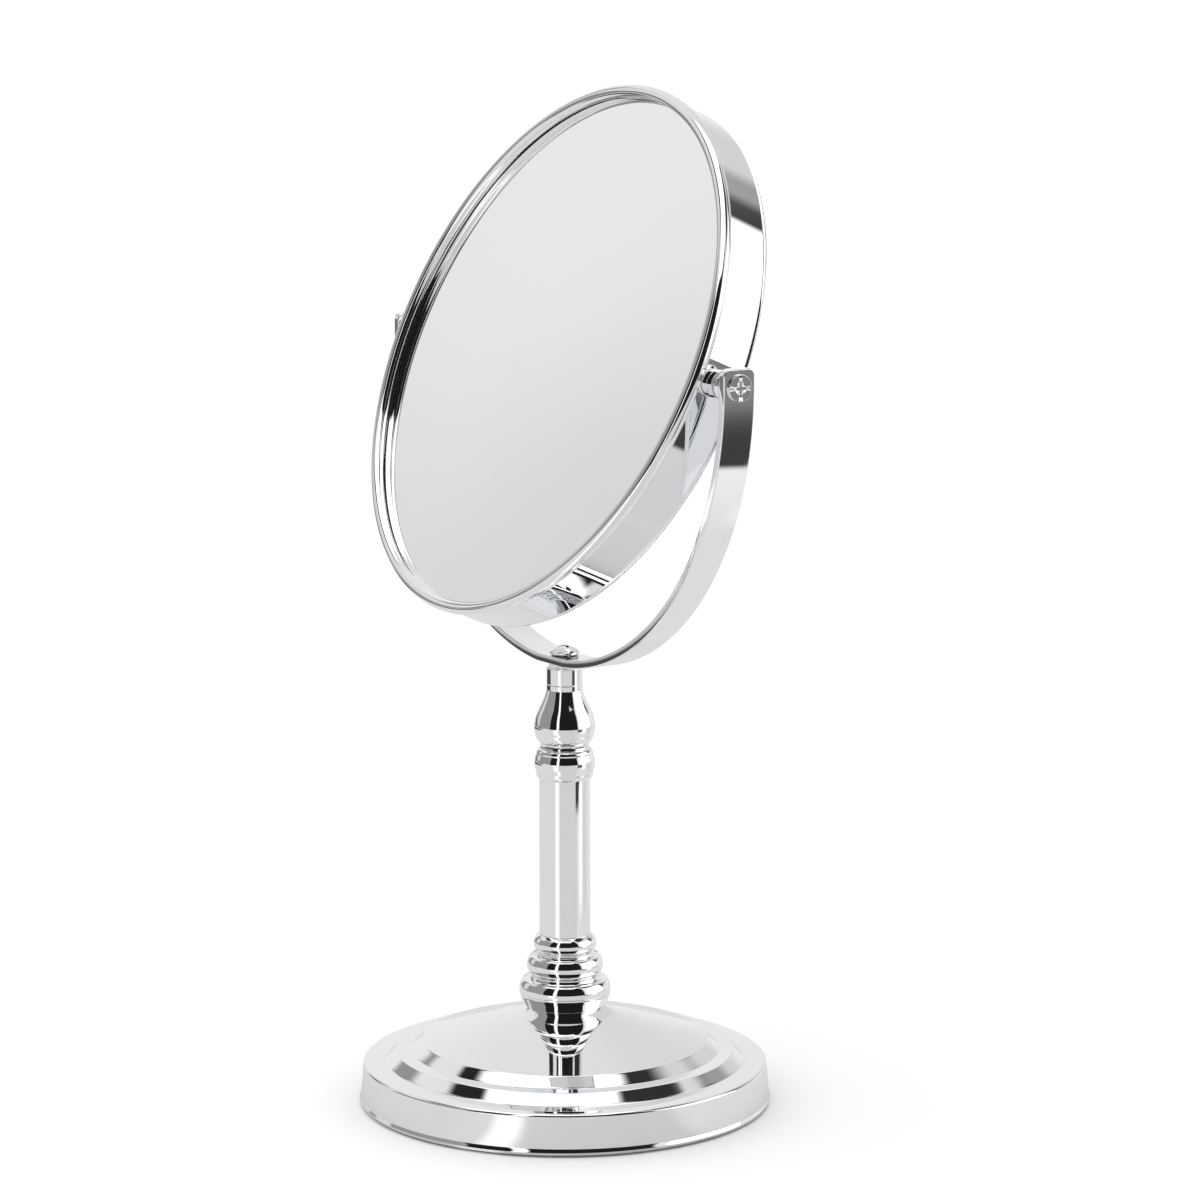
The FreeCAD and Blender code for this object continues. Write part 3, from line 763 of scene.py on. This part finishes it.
# Painted reflections: light and dark patches painted into the table's colour, which glossy rays alone see,
# so that the chrome reflects them:
# azimuth from, to; distance from, to; soft edges of both; brightness.
PAINTED_REFLECTION_PATCHES = [
    (-150, -44, 0.02, 30, 4, 0.01, 0.66),
    (-31, -18, 0.02, 0.2, 3, 0.02, 1.0),
    (-16, 50, 0.02, 0.2, 5, 0.02, 0.6),
    (-42, -25, 0.2, 30, 2, 0.02, 1.0),
    (-22, 57, 0.2, 30, 2, 0.02, 0.6),
    (60, 71, 0.3, 30, 2, 0.12, 0.8),
    (69, 86, 0.3, 30, 2, 0.04, 0.97),
    (90, 117, 0.3, 30, 3, 0.04, 0.62),
    (121, 150, 0.3, 30, 3, 0.04, 0.74),
    (50, 150, 0.02, 0.24, 6, 0.05, 0.72),
    (-150, -100, 0.6, 30, 3, 0.05, 0.06),
    (-150, -88, 0.95, 30, 3, 0.08, 0.5),
    (-150, -88, 1.7, 30, 3, 0.4, 0.16),
    (50, 65.6, 0.5, 30, 0.6, 0.02, 0.045),
    (64.4, 69, 0.55, 30, 0.6, 0.02, 0.045),
    (50, 69, 1.1, 30, 1.5, 0.45, 0.2),
]
PAINTED_REFLECTION_BASE = 0.68           # painted reflection tone of the table where no patch lies


def lay_floor():
    put_down_everything()
    bpy.ops.mesh.primitive_circle_add(vertices=96, radius=40, fill_type="NGON", location=(0, 0, 0))
    floor = bpy.context.object
    floor.name = "floor"
    material, tree, shader, place = new_material("white table with painted reflections")
    azimuth = compass(tree, place)[0]
    grain = noise(tree, place, 3.0, 2.0)
    plain = spread(tree, grain, 0.3, 0.7, 0.955, 0.965)
    distance = tree.nodes.new("ShaderNodeVectorMath")
    distance.operation = "LENGTH"
    tree.links.new(place, distance.inputs[0])
    painted_reflection = add_panels(tree, PAINTED_REFLECTION_BASE, azimuth, distance.outputs["Value"], PAINTED_REFLECTION_PATCHES)
    # Painted reflections: glossy rays see the painted patches and the darker base tone, and all other rays
    # see the plain white table.
    kind = tree.nodes.new("ShaderNodeLightPath")
    shade = mix_value(tree, kind.outputs["Is Glossy Ray"], plain, painted_reflection)
    tree.links.new(shade, shader.inputs["Base Color"])
    shader.inputs["Roughness"].default_value = 1.0
    shader.inputs["Specular IOR Level"].default_value = 0.0
    floor.data.materials.append(material)


# Panels round the object, which glossy rays alone see: azimuth from, to; elevation from, to;
# soft edges of both; brightness.
STUDIO_PANELS = [
    (-130, -85, 47, 65, 3, 2, 0.02),      # dark ceiling, left
    (64, 130, 46, 73, 3, 2, 0.03),        # dark ceiling, right
    (-146, -58, -2, 30, 3, 3, 0.3),       # grey wall, left
    (-100, -58, 28, 44, 3, 3, 0.3),
    (-128, -114, 9, 27, 3, 3, 0.84),      # white cloth in it, which the mirror looks at
    (-128, -114, -2, 16, 3, 4, 0.71),     # and its lower, shaded part
    (-120.5, -112, -2, 20, 1.5, 3, 0.7),
    (112, 168, 10, 52, 10, 6, 0.68),      # right: the wall behind the soft box
    (108, 138, 14, 36, 5, 5, 0.34),       # falls off to grey beside it
    (108, 124, 14, 36, 4, 5, 0.04),
    (60, 112, -6, 36, 2, 2, 1.5),         # tall soft box, right
    (-58, 52, -2, 70, 2, 3, 0.012),       # dark room behind the camera
    (-30, -21, -2, 62, 1.5, 3, 1.2),      # narrow light in it
]
OVERHEAD = (-0.58, 0.39, 0.72, 0.05, 1.4) # left, right and front reach, soft edge, brightness


def light_studio():
    """Even white light for the table, and dark and bright panels for the chrome to reflect."""
    world = bpy.data.worlds.new("studio")
    bpy.context.scene.world = world
    world.use_nodes = True
    tree = world.node_tree
    tree.nodes.clear()
    direction = tree.nodes.new("ShaderNodeTexCoord").outputs["Generated"]
    azimuth, x, toward, z = compass(tree, direction)
    elevation = math_node(tree, "DEGREES", math_node(tree, "ARCSINE", z))
    brightness = spread(tree, elevation, 0.0, 60.0, 0.86, 0.78)
    brightness = add_panels(tree, brightness, azimuth, elevation, STUDIO_PANELS)
    brightness = add_overhead(tree, x, toward, z, brightness)
    lighting = spread(tree, x, -0.9, 0.9, 1.26, 0.96)
    kind = tree.nodes.new("ShaderNodeLightPath")
    seen = mix_value(tree, kind.outputs["Is Glossy Ray"], lighting, brightness)
    background = tree.nodes.new("ShaderNodeBackground")
    tree.links.new(seen, background.inputs["Strength"])
    background.inputs["Color"].default_value = (1.0, 1.0, 1.0, 1.0)
    out = tree.nodes.new("ShaderNodeOutputWorld")
    tree.links.new(background.outputs[0], out.inputs["Surface"])


def add_overhead(tree, x, toward, z, brightness):
    """A soft box straight overhead, on a flat ceiling."""
    left, right, front, soft, level = OVERHEAD
    up = math_node(tree, "MAXIMUM", z, 0.05)
    across = math_node(tree, "DIVIDE", x, up)
    along = math_node(tree, "DIVIDE", toward, up)
    mask = math_node(tree, "MULTIPLY", window(tree, across, left, right, soft),
                     window(tree, along, -0.5, front, soft))
    return mix_value(tree, mask, brightness, level)


def mix_value(tree, mask, first, second):
    node = tree.nodes.new("ShaderNodeMix")
    tree.links.new(mask, node.inputs["Factor"])
    for socket, value in ((2, first), (3, second)):
        if isinstance(value, (int, float)):
            node.inputs[socket].default_value = value
        else:
            tree.links.new(value, node.inputs[socket])
    return node.outputs[0]


make_foot()
make_ring_collar()
make_column()
make_bell()
make_yoke()
make_swivel()
make_pivot("right", 1)
make_pivot("left", -1)
make_head()
dress_hidden_nodes()
place_camera()
lay_floor()
light_studio()
put_down_everything()
bpy.context.scene.view_settings.view_transform = "Standard"
